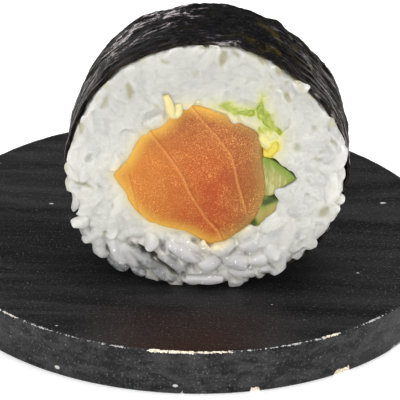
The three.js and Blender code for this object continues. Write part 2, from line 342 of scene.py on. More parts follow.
def section(node_name, y):
    """The closed loops where the plane at y cuts a piece of the frame, each an array of (across, up)."""
    cut = merged(node_name)
    unused = dict.fromkeys(cut_at(cut, y))
    loops = []
    while unused:
        edge = next(iter(unused))
        del unused[edge]
        start, at = edge.verts
        loop = [start, at]
        while at is not start:
            edge = next((e for e in at.link_edges if e in unused), None)
            if edge is None:
                break
            del unused[edge]
            at = edge.other_vert(at)
            loop.append(at)
        if at is start:
            loops.append(np.array([(v.co.x, v.co.z) for v in loop[:-1]]))
    cut.free()
    return loops


def radius_by_angle(loop):
    """A function that gives the loop's distance from the roll's axis by angle."""
    across, up = (loop - ROLL_AXIS).T
    angles = np.arctan2(up, across)
    order = np.argsort(angles)
    steps = np.linspace(-math.pi, math.pi, 720, endpoint=False)
    waves = np.fft.rfft(np.interp(steps, angles[order], np.hypot(across, up)[order], period=2 * math.pi))
    waves[18:] = 0  # smooths the loop's corners away
    smooth = np.fft.irfft(waves, 720)
    return lambda angle: np.interp(angle, steps, smooth, period=2 * math.pi)


nori_low, nori_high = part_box("nori")
ROLL_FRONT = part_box("salmon")[0].y - 0.3 * MM
ROLL_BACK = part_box("salmon")[1].y + 0.3 * MM
ROLL_MIDDLE = (ROLL_FRONT + ROLL_BACK) / 2
ROLL_AXIS = np.array([(nori_low.x + nori_high.x) / 2, (nori_low.z + nori_high.z) / 2])
NORI_THICK = 0.45 * MM
LAP_START, LAP_END = math.radians(-72), math.radians(-28)
NORI_AROUND, NORI_ALONG = 700, 62

nori_loops = sorted(section("nori", ROLL_MIDDLE), key=lambda loop: np.ptp(loop[:, 0]))
inside_of_nori = radius_by_angle(nori_loops[0])


def smoothstep(low, high, value):
    share = np.clip((value - low) / (high - low), 0, 1)
    return share * share * (3 - 2 * share)


def smoothly(low, high, value):
    """smoothstep, which may also run down as the value rises."""
    return smoothstep(low, high, value) if low < high else 1 - smoothstep(high, low, value)


def nori_edge(angle):
    """How far the nori's edge stands back from the cut face."""
    return (1.7 - 1.45 * smoothstep(-0.6, 0.8, np.sin(angle))) * MM


def crease(angle, y):
    """The height of the sheet's creases: sharp ones round the roll, broad dents along it, and a fine cockle."""
    c, s = math.cos(angle), math.sin(angle)
    facets = 1 - 2 * abs(noise.noise(Vector((2.6 * c + 4, 2.6 * s, y / (16 * MM)))))
    long_fold = 1 - 2 * abs(noise.noise(Vector((1.6 * c, 1.6 * s, y / (2.7 * MM)))))
    short_fold = 1 - 2 * abs(noise.noise(Vector((4 * c + 9, 4 * s, y / (1.2 * MM)))))
    dents = noise.noise(Vector((7 * c, 7 * s, y / (7 * MM))))
    cockle = noise.fractal(Vector((22 * c, 22 * s, y / (0.9 * MM))), 0.8, 2.0, 3)
    flanks = 0.7 + 0.3 * abs(c)
    height = 0.34 * facets + (0.26 * long_fold + 0.16 * short_fold) * flanks + 0.26 * dents + 0.10 * cockle - 0.40
    return height * MM * (1 - smoothstep(0.90, 0.96, -s))


def nori_strip():
    """The sheet as a closed strip: up its outer face, over its end, down its inner face and back."""
    turn = 2 * math.pi + LAP_END - LAP_START
    rings = []
    for share in np.linspace(0, 1, NORI_AROUND):
        angle = LAP_START + share * turn
        over = smoothstep(2 * math.pi - 0.16, 2 * math.pi + 0.02, share * turn)
        inner = float(inside_of_nori(angle)) + 0.06 * MM + over * (NORI_THICK + 0.03 * MM)
        fray = [0.25 * noise.fractal(Vector((angle * 8, k, 3)), 0.7, 2.0, 4) * MM for k in (0, 7)]
        front = ROLL_FRONT + nori_edge(angle) + fray[0]
        back = ROLL_BACK - nori_edge(angle) + fray[1]
        ys = front + (back - front) * np.linspace(0, 1, NORI_ALONG)
        heights = np.array([crease(angle, y) for y in ys]) * (1 - 0.4 * over)
        ring = []
        for outer in (True, False):
            way = slice(None) if outer else slice(None, None, -1)
            for y, height in zip(ys[way], heights[way]):
                radius = inner + (NORI_THICK if outer else 0) + height
                x, z = ROLL_AXIS + radius * np.array([math.cos(angle), math.sin(angle)])
                ring.append((x, y, max(z, BOARD_TOP + 0.02 * MM)))
        rings.append(ring)
    count = len(rings[0])
    quads = [(j * count + k, j * count + (k + 1) % count, (j + 1) * count + (k + 1) % count, (j + 1) * count + k)
             for j in range(len(rings) - 1) for k in range(count)]
    for j, turned in ((0, False), (len(rings) - 1, True)):  # the sheet's two ends, as strips of quads
        for k in range(NORI_ALONG - 1):
            face = (j * count + k, j * count + count - 1 - k, j * count + count - 2 - k, j * count + k + 1)
            quads.append(face[::-1] if turned else face)
    return grid_mesh([point for ring in rings for point in ring], quads)


nori_mesh = nori_strip()
turning = bmesh.new()
turning.from_mesh(nori_mesh)
as_mesh(turning, nori_mesh)
brink = np.zeros((NORI_AROUND, 2, NORI_ALONG))
brink[:, :, [0, -1]] = 1
add_values(nori_mesh, brink=brink.ravel())

seaweed, tree, shader = finish("toasted_nori", Specular_IOR_Level=0.15, Specular_Tint=(1.0, 0.93, 0.98, 1.0))
FROM_AXIS = (-ROLL_AXIS[0], 0, -ROLL_AXIS[1])  # the shift that centres a pattern on the roll's axis
place = placed(tree, shift=FROM_AXIS)
x, y, z = axes(place)
fibres = grainy(placed(tree, (0.14, 1.0, 0.14)), 900, 5.0, 0.65, 0.8)
mottle = grainy(place, 420, 5.0, 0.65, 0.6)
thin = grainy(place, 190, 4.0, 0.6, 1.0)
sheen_patches = grainy(placed(tree, (0.5, 1.0, 0.5)), 190, 5.0, 0.7, 0.8)
crisp = grainy(placed(tree, (0.3, 1.0, 0.3)), 1700, 3.0, 0.7, 0.6)
painted_sheen_streaks = grainy(placed(tree, (0.08, 1.0, 0.08)), 1500, 3.0, 0.7, 0.3)
on_flank = ramp(maths("ABSOLUTE", x), 13 * MM, 23 * MM)
upper_right = times(ramp(x, 0.0, 12 * MM), ramp(z, 4 * MM, 16 * MM))
painted_sheen_zone = times(ramp(x, 1 * MM, -5 * MM), ramp(z, 9 * MM, 16 * MM), ramp(y, -20 * MM, -14 * MM))
shine = ramp(plus(sheen_patches, times(painted_sheen_zone, 0.055)), 0.54, 0.63)
shine = times(shine, ramp(crisp, 0.46, 0.58))
dark = layered(
    blend(ramp(mottle, 0.35, 0.7), rgb(10, 10, 11), rgb(25, 24, 26)),
    (on_flank, rgb(15, 12, 12)),
    # Painted sheen: light patches, strongest on the upper left, where the creases catch the light.
    (times(plus(painted_sheen_zone, 0.12), shine), rgb(196, 184, 186)),
    (ramp(thin, 0.50, 0.64, 0.0, 0.5), rgb(26, 26, 14)),
    (ramp(grainy(place, 2300, 2.0), 0.60, 0.70, 0.0, 0.26), rgb(110, 104, 98)),
    # Painted sheen: pale streaks along the creases of the flanks, stronger higher up.
    (times(ramp(painted_sheen_streaks, 0.54, 0.61, 0.0, 0.85), on_flank, ramp(z, -8 * MM, 5 * MM, 0.4, 1.0)), rgb(136, 129, 125)),
    (times(ramp(thin, 0.60, 0.68, 0.0, 0.75), upper_right), rgb(66, 54, 24)),
    (times(attribute(tree, "brink"), ramp(mottle, 0.4, 0.6)), rgb(42, 36, 28)))
rough = minus(ramp(fibres, 0.35, 0.65, 0.42, 0.56), times(shine, 0.20))
feed(shader, Base_Color=dark, Roughness=rough, Specular_IOR_Level=ramp(shine, 0.0, 1.0, 0.02, 1.2))
bumps(shader, plus(fibres, times(mottle, 0.6)), 0.28 * MM)
make_piece("nori_sheet", nori_mesh, seaweed, "nori", "nori")

# ------------------------------------------------------------------------------------------------ the rice
# Vinegared short-grain rice, spread on the nori and pressed round the filling by the rolling mat. Near the cut
# faces every grain is there. The knife pressed and smeared them flush, but for the whole ones low in front.
GRAIN = dict(Length=6.6 * MM, Width=2.9 * MM, Thickness=2.4 * MM, Bend=0.08)
VOXEL = 0.20 * MM
FILLINGS = ("salmon", "cucumber_wedge", "cucumber_sliver", "avocado")
outlines = {name: section(name, ROLL_MIDDLE)[0] for name in FILLINGS}

# Whole grains in front. Across and up from the roll's axis and out of the face, in millimetres, the turn from
# level and the lean into the face in degrees, the length and width in millimetres, and how glassy each is.
WHOLE_GRAINS = [
    (-24.6, -2.1, 0.9, -54, 0, 4.8, 2.0, 0.1), (-23.8, -7.4, 0.3, 86, 0, 6.2, 2.8, 0.2),
    (-22.9, -12.0, 1.0, 28, 0, 4.2, 2.7, 0.0), (-22.0, -13.9, 0.3, -70, 0, 3.8, 2.4, 0.6),
    (-20.6, -15.0, 0.6, 42, 0, 5.0, 3.0, 0.1), (-19.4, -17.3, 0.7, -81, 0, 4.6, 2.8, 0.3),
    (-16.2, -18.0, 0.9, -63, 0, 6.2, 3.1, 0.15), (-13.8, -18.8, 0.8, -51, 0, 6.0, 3.0, 0.35),
    (-16.1, -20.8, 0.3, -35, 0, 4.6, 2.2, 1.0), (-11.8, -19.1, 0.8, -39, 0, 6.6, 2.8, 1.0),
    (-7.9, -21.9, 0.9, -35, 0, 6.6, 2.8, 0.85), (-11.9, -22.3, 0.1, -15, 0, 3.6, 2.0, 1.6),
    (-9.9, -15.5, 1.4, 86, 15, 4.6, 2.9, 0.0), (-3.6, -17.5, 1.3, -33, 0, 7.8, 2.7, 0.05),
    (-5.8, -20.3, 0.6, -34, 0, 6.6, 2.5, 0.55), (-0.2, -23.0, 1.2, 1, 0, 8.0, 2.1, 0.1),
    (3.6, -16.3, 1.5, 7, 30, 4.4, 3.4, 0.0), (0.9, -19.7, 1.2, 20, 15, 4.8, 3.6, 0.1),
    (6.0, -19.0, 1.1, -9, 0, 6.0, 3.8, 0.2), (7.6, -21.4, 0.8, 0, 0, 5.6, 2.2, 0.3),
    (10.3, -18.4, 1.1, 20, 0, 4.2, 2.6, 0.05), (12.9, -16.9, 1.2, -61, 0, 4.4, 3.2, 0.0),
    (11.6, -20.3, 0.7, 20, 0, 4.0, 2.0, 0.3), (14.8, -18.0, 0.4, 47, 0, 4.6, 2.6, 0.5),
    (0.4, -16.2, 1.0, -53, 0, 3.2, 1.8, 0.1), (9.0, -15.2, 0.9, 40, 0, 5.4, 3.6, 0.0),
    (17.5, -14.8, 0.7, 48, 0, 6.6, 3.1, 0.2), (20.7, -12.4, 0.4, 48, 0, 7.4, 2.4, 0.3),
    (23.3, -8.8, 0.6, 70, 0, 3.2, 2.0, 0.1), (23.4, -3.4, 0.9, 86, 0, 7.0, 2.9, 0.0),
    (24.0, 2.8, 1.0, 68, 0, 6.2, 2.9, 0.0), (23.2, 8.6, 0.2, -66, 0, 6.8, 2.2, 0.4),
    (-3.8, -15.6, 0.5, -25, 0, 7.6, 1.9, 0.0), (-10.2, 9.5, 1.2, 12, 0, 4.8, 4.2, 0.0),
    (-16.9, 0.4, 0.9, 70, 0, 4.4, 2.8, 0.0), (12.2, 16.6, 0.7, -30, 0, 4.4, 3.6, 0.0),
    (16.5, 17.0, 0.9, -20, 0, 3.6, 2.6, 0.0), (8.6, 9.4, 0.2, -20, 0, 3.2, 2.3, 0.0),
    (11.2, 7.3, 0.2, 10, 0, 3.4, 2.8, 0.0), (-6.0, 11.9, 0.5, 70, 0, 4.0, 2.0, 0.0),
]

# Gaps between the whole grains, cut in deep and darkened with painted shade: across, up, turn, length, width and how
# dark.
GAPS = [
    (-10.6, -17.9, -37, 5.0, 0.9, 1.0), (-9.4, -18.6, -43, 1.9, 1.3, 1.0), (-6.9, -20.7, -36, 6.0, 0.75, 1.0),
    (-7.6, -16.9, -72, 2.4, 1.0, 0.6), (-4.9, -18.8, -38, 4.6, 0.45, 0.6), (-17.9, -17.6, -77, 2.2, 0.6, 0.8),
    (-13.1, -16.5, -25, 2.0, 0.5, 0.7), (-3.6, -22.1, -60, 1.4, 0.8, 0.7), (5.6, -16.7, 51, 2.6, 0.8, 0.4),
    (-1.2, -18.2, -41, 2.6, 0.45, 0.3), (12.5, -19.3, -43, 1.6, 0.6, 0.4), (2.6, -21.2, -70, 1.4, 0.55, 0.3),
    (-1.9, -20.9, -64, 1.9, 0.8, 0.4),
]

# Hollows between the pressed grains in front: across, up, turn, length, width and depth.
HOLLOWS = [
    (-14.3, 15.0, -72, 4.4, 1.5, 0.8), (-18.8, 12.2, 60, 3.0, 1.4, 0.55), (-23.0, 7.3, 70, 2.6, 1.4, 0.65),
    (-18.1, 17.6, 48, 3.2, 1.2, 0.8), (2.1, 21.6, 80, 3.4, 1.6, 1.2), (-0.4, 24.2, 0, 3.8, 1.1, 0.8),
    (4.7, 23.0, -40, 2.4, 0.9, 0.6), (9.5, 22.4, -60, 2.8, 1.5, 1.1), (12.5, 19.9, -60, 2.4, 1.3, 0.9),
    (14.3, 15.0, -55, 2.4, 1.2, 1.2), (14.9, 19.1, -24, 5.4, 1.6, 1.3), (13.9, 17.6, 60, 1.6, 0.7, 0.6),
    (11.0, 17.0, 40, 0.8, 0.6, 0.7), (16.4, 4.7, 80, 2.2, 1.2, 0.55), (20.2, 2.5, 10, 2.0, 1.0, 0.5),
    (18.5, -1.9, 80, 1.6, 0.7, 0.4), (18.8, -4.6, 40, 0.7, 0.5, 0.7), (21.8, -8.0, 66, 3.2, 1.3, 0.8),
    (-18.0, 5.7, 20, 1.6, 0.7, 0.25), (23.0, 5.8, -52, 2.6, 0.6, 0.9), (21.4, 4.0, 24, 2.2, 0.5, 0.6),
    (-16.9, -8.9, 84, 2.2, 0.6, 0.5), (-19.7, -5.0, 80, 2.8, 0.8, 0.4), (-18.2, -13.6, 30, 0.9, 0.7, 0.9),
    (-22.8, -4.0, -36, 4.6, 0.7, 1.0), (19.6, 8.6, -40, 2.0, 0.8, 0.5), (-9.6, 12.0, -40, 3.2, 0.4, 0.6),
    (7.0, 17.5, 30, 2.0, 0.7, 0.4), (-2.5, 18.5, 70, 2.2, 0.8, 0.4), (-21.5, 1.0, 65, 2.6, 0.9, 0.45),
    (-8.3, 21.0, -20, 2.4, 0.8, 0.5), (17.0, -9.5, -30, 2.0, 0.7, 0.4),
]


def inside(outline, points):
    """Which of the points, each (across, up), the outline holds."""
    ends = np.roll(outline, -1, axis=0)
    held = np.zeros(len(points), bool)
    for (x1, z1), (x2, z2) in zip(outline, ends):
        crosses = (z1 > points[:, 1]) != (z2 > points[:, 1])
        at = (x2 - x1) * (points[:, 1] - z1) / (z2 - z1 if z2 != z1 else 1e-12) + x1
        held ^= crosses & (points[:, 0] < at)
    return held


def distance_to(outline, points, closed=True):
    """How far each point is from the nearest side of the outline."""
    ends = np.roll(outline, -1, axis=0) if closed else outline[1:]
    nearest = np.full(len(points), np.inf)
    for a, b in zip(outline, ends):
        side = b - a
        share = np.clip(((points - a) @ side) / max(side @ side, 1e-18), 0, 1)
        nearest = np.minimum(nearest, np.linalg.norm(points - a - share[:, None] * side, axis=1))
    return nearest


def clear_of(name, points):
    """How far outside a filling each point is, less than nothing inside it."""
    return distance_to(outlines[name], points) * np.where(inside(outlines[name], points), -1, 1)


def within_nori(points):
    """Each point's angle round the roll, its distance from the axis, and the room left to the nori."""
    away = points - ROLL_AXIS
    angle, reach = np.arctan2(away[:, 1], away[:, 0]), np.hypot(*away.T)
    return angle, reach, inside_of_nori(angle) - reach


def across_up(at):
    """The points as someone looking at the cut face has them, each (across, up)."""
    return np.stack([at[:, 0], at[:, 2]], axis=1)


def face_at(into):
    """Where a cut face is along the roll: the front one where into is 1, the back one where it is -1."""
    return ROLL_FRONT if into > 0 else ROLL_BACK


def loosened(points):
    """Where the grains were left whole: 0 where the knife pressed them, 1 along the foot of the face."""
    across, up = (points - ROLL_AXIS).T
    foot = smoothly(-13.0 * MM, -16.5 * MM, up)
    return foot * smoothly(19 * MM, 12 * MM, np.abs(across + 3 * MM))


def steady_noise(point):
    """Three noises at once. They depend on the point alone, where noise.noise_vector changes with the clock."""
    shifts = (Vector((9.32, -1.53, -7.95)), Vector((0.0, 0.0, 0.0)), Vector((6.73, 11.87, -3.41)))
    return [noise.noise(point + shift) for shift in shifts]


def uneven_over(points, scale, salt):
    """A noise between -1 and 1 at each (across, up)."""
    return np.array([noise.noise(Vector((x * scale, z * scale, salt))) for x, z in points])


def lumps_over(at, scale, roughness, gap, octaves):
    """A lumpy noise at each point."""
    return np.array([noise.fractal(Vector(p) * scale, roughness, gap, octaves) for p in at])


def ruffled(points, by=0.7 * MM, scale=520):
    """The points, each moved a little by chance, so that what is drawn there has an uneven edge."""
    moves = [steady_noise(Vector((x * scale, z * scale, 2.3)))[:2] for x, z in points]
    return points + np.array(moves) * by


# Where the avocado comes through to the cut face: across, up, turn, length and width.
AVOCADO_SHOWS = [(9.7, 12.2, 82, 4.8, 1.8), (11.0, 10.0, -62, 4.4, 2.2), (7.2, 11.5, 4, 4.6, 1.3),
                 (12.2, 4.4, 72, 5.2, 2.6), (12.8, 8.0, -45, 2.6, 1.0), (10.6, 3.4, -50, 3.0, 1.4)]
AVOCADO_STAINS = [(4.8, 12.1, -8, 8.4, 2.6), (10.6, 8.4, 80, 7.0, 3.4)]


def oval(points, across, up, turn, length, width):
    """0 at the middle of a turned oval on the face, 1 on its edge."""
    c, s = math.cos(math.radians(turn)), math.sin(math.radians(turn))
    x, z = (points - ROLL_AXIS - np.array([across, up]) * MM).T
    return np.hypot((x * c + z * s) / (length * MM / 2), (z * c - x * s) / (width * MM / 2))


def hollow_depth(points, hollows):
    """How far the hollows dip under the face at each point."""
    dip = np.zeros(len(points))
    points = ruffled(points)
    for across, up, turn, length, width, depth in hollows:
        dip = np.maximum(dip, 0.65 * depth * MM * smoothly(1.35, 0.35, oval(points, across, up, turn, length, width)))
    return dip


def cracked(points):
    """1 in the gaps between the whole grains, which are painted dark as shade, and 0 away from them."""
    points = ruffled(points, 0.16 * MM, 900)
    return np.max([crack[5] * smoothly(1.35, 0.6, oval(points, *crack[:5])) for crack in GAPS], axis=0)


def beside_avocado(points):
    """Less than 1 where the avocado comes through to a cut face, and more the further it is from there."""
    points = ruffled(points)
    return np.min([oval(points, *show) for show in AVOCADO_SHOWS], axis=0)


def stained(points):
    """How much of the avocado's oil and pulp the rice has taken up at each point."""
    blots = [0.8 * np.exp(-(oval(ruffled(points), *stain) - 0.6).clip(0) / 0.5) for stain in AVOCADO_STAINS]
    return np.max([np.exp(-(beside_avocado(points) - 0.7).clip(0) / 0.7), *blots], axis=0)


def group(name, sockets):
    """An empty Geometry Nodes tree with the named inputs, and its input and output nodes."""
    tree = bpy.data.node_groups.new(name, "GeometryNodeTree")
    for socket, kind, value in sockets:
        made = tree.interface.new_socket(socket, in_out="INPUT", socket_type="NodeSocket" + kind)
        if value is not None:
            made.default_value = value
    tree.interface.new_socket("Geometry", in_out="OUTPUT", socket_type="NodeSocketGeometry")
    return tree, tree.nodes.new("NodeGroupInput"), tree.nodes.new("NodeGroupOutput")


def grain_of_rice():
    """One cooked grain as a tree: a ball drawn out, with blunt ends, thicker at one and a little bent."""
    sizes = [(name, "Float", value) for name, value in GRAIN.items()]
    tree, given, result = group("Cooked grain", sizes)
    ball = node(tree, "GeometryNodeMeshUVSphere", {"Segments": 12, "Rings": 10, "Radius": 1.0})
    turned = node(tree, "GeometryNodeTransform", {0: ball.outputs[0], "Rotation": (0, math.pi / 2, 0)})
    x, y, z = axes(node(tree, "GeometryNodeInputPosition").outputs[0])
    square = times(x, x)
    blunt = maths("SQRT", plus(1.0, square))
    blunt = times(blunt, plus(0.93, times(x, 0.1)))
    length, thickness, width = (times(given.outputs[name], 0.5) for name in ("Length", "Thickness", "Width"))
    bent = times(square, given.outputs["Bend"], given.outputs["Length"])
    place = vector(times(x, length), times(y, blunt, thickness),
                   plus(times(z, blunt, width), bent))
    shaped = node(tree, "GeometryNodeSetPosition", {0: turned.outputs[0], "Position": place})
    tree.links.new(shaped.outputs[0], result.inputs[0])
    return tree


def packed_rice(grain):
    """Grains scattered over a face no nearer than Spacing, each along the face's own "along" direction."""
    sockets = [("Geometry", "Geometry", None), ("Spacing", "Float", 2.6 * MM), ("Scatter", "Float", 0.3),
               ("Depth", "Float", 0.0), ("Seed", "Int", 0)]
    tree, given, result = group("Packed rice", sockets)
    laid = node(tree, "GeometryNodeDistributePointsOnFaces", {
        "Mesh": given.outputs["Geometry"], "Distance Min": given.outputs["Spacing"], "Density Max": 4e7,
        "Seed": given.outputs["Seed"]}, distribute_method="POISSON")

    def named(name, kind="FLOAT"):
        made = node(tree, "GeometryNodeInputNamedAttribute", {"Name": name}, data_type=kind)
        return made.outputs["Attribute"]

    def drawn(low, high, kind, salt):
        """A random value between low and high for each grain."""
        made = node(tree, "FunctionNodeRandomValue", data_type=kind)
        ends = [socket for socket in made.inputs if socket.name in ("Min", "Max") and socket.enabled]
        ends[0].default_value, ends[1].default_value = low, high
        tree.links.new(plus(given.outputs["Seed"], salt), made.inputs["Seed"])
        return next(socket for socket in made.outputs if socket.enabled)

    def rotated(rotation, by, space):
        by = node(tree, "FunctionNodeEulerToRotation", {0: by}).outputs[0]
        return node(tree, "FunctionNodeRotateRotation", {0: rotation, 1: by}, rotation_space=space).outputs[0]

    depth = plus(named("set"), given.outputs["Depth"], drawn(-0.25 * MM, 0.25 * MM, "FLOAT", 11))
    offset = vector(y=times(depth, named("into")))
    moved = node(tree, "GeometryNodeSetPosition", {0: laid.outputs["Points"], "Offset": offset})
    aimed = node(tree, "FunctionNodeAlignRotationToVector", {"Vector": named("along", "FLOAT_VECTOR")}, axis="X")
    swing = times(drawn(-1.0, 1.0, "FLOAT", 37), plus(named("loose"), given.outputs["Scatter"]))
    turned = rotated(aimed.outputs[0], vector(y=swing), "GLOBAL")
    lean = drawn((-3.1, -0.30, -0.35), (3.1, 0.30, 0.35), "FLOAT_VECTOR", 23)
    rocked = rotated(turned, lean, "LOCAL")
    one = node(tree, "GeometryNodeGroup", GRAIN, node_tree=grain)
    spread = node(tree, "GeometryNodeInstanceOnPoints", {
        "Points": moved.outputs[0], "Instance": one.outputs[0], "Rotation": rocked,
        "Scale": drawn((0.80, 0.85, 0.85), (1.10, 1.12, 1.12), "FLOAT_VECTOR", 53)})
    whole = node(tree, "GeometryNodeRealizeInstances", {0: spread.outputs[0]})
    dressed = node(tree, "GeometryNodeSetMaterial", {0: whole.outputs[0], "Material": cooked_rice})
    tree.links.new(dressed.outputs[0], result.inputs[0])
    return tree


cooked_rice, tree, shader = finish(
    "cooked_rice", Roughness=0.36, Specular_IOR_Level=0.35, Subsurface_Weight=1.0,
    Subsurface_Radius=(1.0, 0.98, 0.92), Subsurface_Scale=1.9 * MM, Coat_Weight=0.36, Coat_Roughness=0.05)
place = placed(tree)
height = axes(place)[2]
axis_height = float(ROLL_AXIS[1])
clouds = grainy(place, 330, 3.0, 0.55, 0.4)
foot, green, gap = (attribute(tree, name) for name in ("foot", "green", "gap"))
glass = blend(ramp(grainy(place, 520, 3.0), 0.40, 0.60), rgb(104, 105, 106), rgb(164, 164, 164))
# Painted glints: white dots on the wet grains low in front.
painted_glints = ramp(grainy(place, 1500, 2.0), 0.67, 0.71)
high = ramp(height, axis_height + 5 * MM, axis_height + 9 * MM)
patches = ramp(grainy(place, 460, 4.0, 0.6), 0.35, 0.65, -0.25, 0.2)
starch = layered(
    blend(attribute(tree, "tint"), rgb(188, 188, 185), rgb(210, 208, 200)),
    (ramp(clouds, 0.42, 0.64, 0.0, 0.3), rgb(192, 189, 177)),
    (ramp(grainy(place, 1100, 3.0), 0.45, 0.62, 0.0, 0.4), rgb(212, 212, 207)),
    # Darker towards the top of the face: painted shade, where more light falls on it.
    (ramp(height, axis_height - 4 * MM, axis_height + 19 * MM, 0.0, 0.5), rgb(168, 168, 162)),
    (ramp(grainy(place, 4200, 2.0), 0.40, 0.56, 0.13, 0.0), rgb(150, 150, 146)),
    (times(foot, 0.35), rgb(226, 222, 220)),
    # Greyer middles of the whole grains, so that their edges look lit: painted light.
    (times(attribute(tree, "heart"), foot), rgb(192, 190, 191)),
    (attribute(tree, "clear"), glass),
    # Painted glints on the wet grains low in front.
    (times(painted_glints, foot), rgb(250, 250, 248)),
    # Hollows, grain seams and the rim by the nori: the starch's beige tint there, with painted shade.
    (attribute(tree, "crevice"), rgb(168, 164, 138)),
    # Painted shade: dark brown in the gaps and deep places at the foot.
    (gap, rgb(46, 38, 32)),
    (attribute(tree, "oil"), rgb(224, 204, 136)),
    (green, blend(high, rgb(222, 214, 104), rgb(194, 194, 100))),
    (ramp(plus(green, patches), 0.45, 0.95, 0.0, 0.85), blend(high, rgb(220, 196, 62), rgb(144, 158, 44))))
opaque = maths("MAXIMUM", gap, ramp(green, 0.5, 0.9))
feed(shader, Base_Color=starch, Subsurface_Weight=minus(1.0, opaque))
bumps(shader, plus(grainy(place, 700, 3.0), grainy(place, 2600, 2.0)), 0.07 * MM)
bumps(shader, grainy(place, 1700, 2.0, 0.6, 0.6), 0.5 * MM, "Coat_Normal")


FACE_REACH = 26.5 * MM  # half the width of the grids, which takes in the whole face
LEAST_RICE = 1.3 * MM  # between two fillings there is this much rice, or none


def face_grid(into, step, clearance):
    """A cut face as a flat grid: its points, the mesh of the cells that rice covers, how far outside each filling
    every point is, and how many points are in a row. clearance is what the rice keeps from nori and fillings."""
    reach = np.arange(-FACE_REACH, FACE_REACH, step)
    across, up = np.meshgrid(reach + ROLL_AXIS[0], reach + ROLL_AXIS[1], indexing="ij")
    at = np.stack([across.ravel(), up.ravel()], axis=1)
    count = len(reach)
    lobes = (1 - 3 * np.abs(uneven_over(at, 230, 6.0))) * 0.4 * MM
    extra = {"cucumber_wedge": -0.60 * MM}
    clear = {name: clear_of(name, at) + extra.get(name, lobes) for name in FILLINGS}
    kept = within_nori(at)[2] > max(clearance, 0.15 * MM)
    kept &= (clear["avocado"] > clearance) | (beside_avocado(at) > 0.55) | (clearance < 0)
    for name in FILLINGS[:3]:
        kept &= clear[name] > clearance
    kept &= clear["salmon"] + np.minimum(clear["cucumber_wedge"], clear["cucumber_sliver"]) > LEAST_RICE
    kept &= clear["cucumber_wedge"] + clear["cucumber_sliver"] > LEAST_RICE
    starts = (i * count + j for i in range(count - 1) for j in range(count - 1))
    corners = ((k, k + count, k + count + 1, k + 1) for k in starts)
    cells = [cell[::into] for cell in corners if all(kept[k] for k in cell)]
    mesh = grid_mesh(np.stack([at[:, 0], np.full(len(at), face_at(into)), at[:, 1]], axis=1), cells)
    return at, mesh, clear, count


def rice_ground(into):
    """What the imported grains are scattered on, with how each lies: round the roll, or round the nearest filling."""
    step = 0.6 * MM
    at, mesh, clear, count = face_grid(into, step, 1.15 * MM)
    angle, reach, room = within_nori(at)
    along = np.stack([-np.sin(angle), np.cos(angle)], axis=1)
    nearest = np.minimum.reduce([clear[name] for name in FILLINGS[:3]])
    slope = np.stack(np.gradient(nearest.reshape(count, count), step), axis=-1).reshape(-1, 2)
    round_filling = np.stack([-slope[:, 1], slope[:, 0]], axis=1)
    along = np.where((nearest < 3.4 * MM)[:, None], round_filling, along)
    middling = smoothstep(1.6 * MM, 4 * MM, room) * smoothstep(2 * MM, 4.5 * MM, nearest)
    mesh.attributes.new("along", "FLOAT_VECTOR", "POINT").data.foreach_set(
        "vector", np.stack([along[:, 0], np.zeros(len(at)), along[:, 1]], axis=1).astype(np.float32).ravel())
    whole = loosened(at) if into > 0 else np.zeros(len(at))
    add_values(mesh, loose=0.45 + 0.9 * middling, set=(0.75 + 0.70 * whole) * MM, into=into)
    return mesh


PASTE_DEPTH = 2.4 * MM  # how far in from a cut face the starch fills the gaps between the grains


def paste(into, hollows):
    """The smeared starch that fills the face between its grains: a slab, its front dipping at the hollows."""
    at, mesh, *_ = face_grid(into, 0.4 * MM, -0.4 * MM)
    low = loosened(at) if into > 0 else np.zeros(len(at))
    uneven = uneven_over(at, 190, 4.0 * into)
    rim = smoothly(3.2 * MM, 1.0 * MM, within_nori(at)[2])
    depth = (0.14 + 0.14 * uneven + 0.14 * rim + 1.35 * low) * MM + hollow_depth(at, hollows)
    put_points(mesh, np.stack([at[:, 0], face_at(into) + into * depth, at[:, 1]], axis=1))
    return evaluated(mesh, modifiers=[("SOLIDIFY", dict(thickness=PASTE_DEPTH, offset=-1.0))])


def shown(holder):
    """The mesh that an object shows. The object itself goes."""
    result = bpy.data.meshes.new_from_object(holder.evaluated_get(bpy.context.evaluated_depsgraph_get()))
    bpy.data.objects.remove(holder)
    return result


def evaluated(mesh, tree=None, modifiers=(), **inputs):
    """The mesh as a Geometry Nodes tree, or a modifier or more, leave it."""
    holder = in_scene("holder", mesh)
    if tree:
        modifier = holder.modifiers.new("tree", "NODES")
        modifier.node_group = tree
        sockets = {item.name: item.identifier for item in tree.interface.items_tree if item.in_out == "INPUT"}
        for name, value in inputs.items():
            modifier[sockets[name]] = value
    for kind, settings in modifiers:
        modifier = holder.modifiers.new(kind, kind)
        for name, value in settings.items():
            setattr(modifier, name, value)
    return shown(holder)


def fused(mesh, voxel, rounds):
    """The mesh as one fine skin, smoothed a few times."""
    return evaluated(mesh, modifiers=[("REMESH", dict(mode="VOXEL", voxel_size=voxel, adaptivity=0.0)),
                                      ("SMOOTH", dict(factor=0.5, iterations=rounds))])


def points_of(mesh):
    """The mesh's points as an array."""
    at = np.empty(len(mesh.vertices) * 3, np.float32)
    mesh.vertices.foreach_get("co", at)
    return at.reshape(-1, 3).astype(float)


def put_points(mesh, at):
    mesh.vertices.foreach_set("co", at.astype(np.float32).ravel())
    mesh.update()


def relaxed(mesh, at, share, rounds):
    """The mesh's points, each drawn towards the mean of its neighbours by its share, a few times."""
    pairs = np.empty(len(mesh.edges) * 2, np.int32)
    mesh.edges.foreach_get("vertices", pairs)
    a, b = pairs.reshape(-1, 2).T
    count = np.bincount(np.concatenate([a, b]), minlength=len(at))[:, None]
    for _ in range(rounds):
        total = np.stack([np.bincount(a, at[b, k], len(at)) + np.bincount(b, at[a, k], len(at))
                          for k in range(at.shape[1])], axis=1)
        at = at + (total / np.maximum(count, 1) - at) * share[:, None]
    return at


